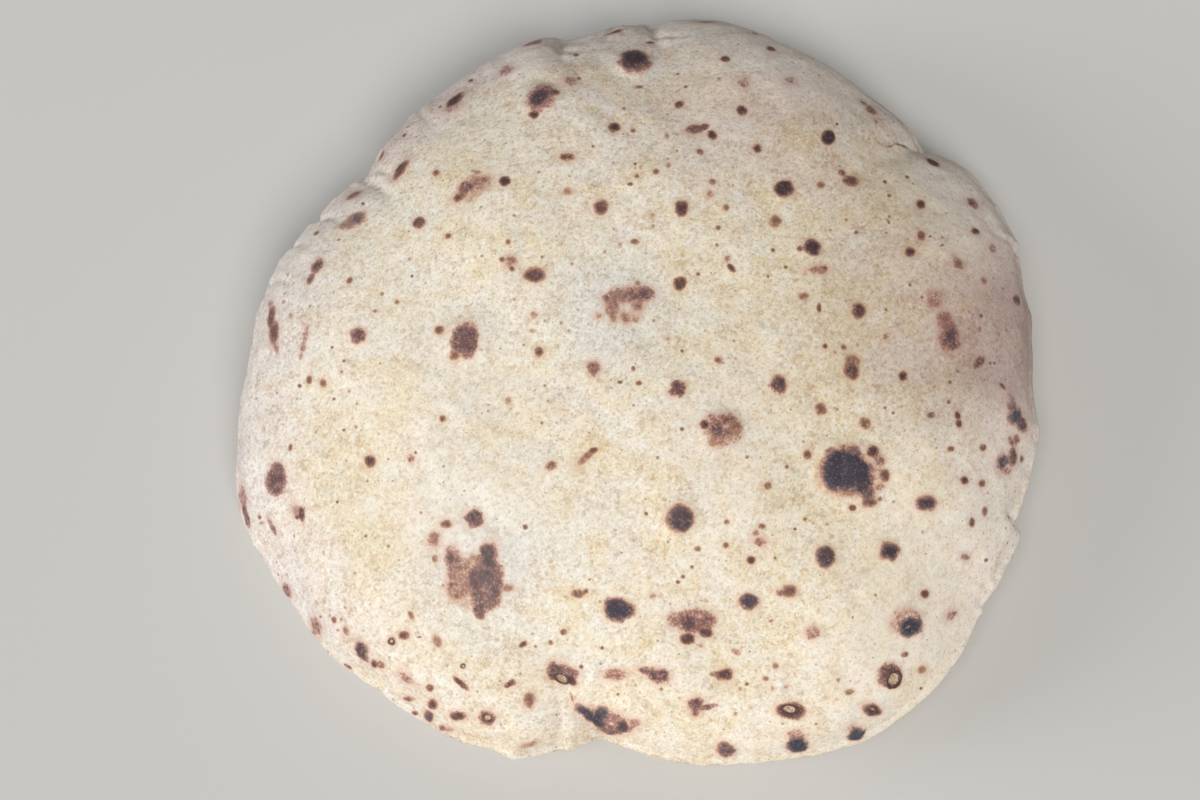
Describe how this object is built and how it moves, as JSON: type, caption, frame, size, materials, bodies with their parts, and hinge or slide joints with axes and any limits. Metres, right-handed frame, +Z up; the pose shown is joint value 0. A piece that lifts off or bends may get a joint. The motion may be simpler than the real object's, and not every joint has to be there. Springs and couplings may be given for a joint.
{
  "type": "puffed chapati flatbread",
  "caption": "Round wholewheat flatbread puffed up by its own steam: a domed top over a flat underside, with an uneven pinched rim and scorched spots.",
  "frame": {"origin": "on the surface that the bread rests on, under the middle of its plan box", "axes": "+Z up through the dome; -Y towards the pinched near rim, +X to the right as seen from there"},
  "size_m": [0.1802, 0.177, 0.0442],
  "materials": {
    "crust": "matt dry-baked wholewheat dough, pale cream with scorched brown and black spots, floury, no gloss"
  },
  "bodies": {
    "root": {"chapati": "crust"}
  },
  "joints": []
}
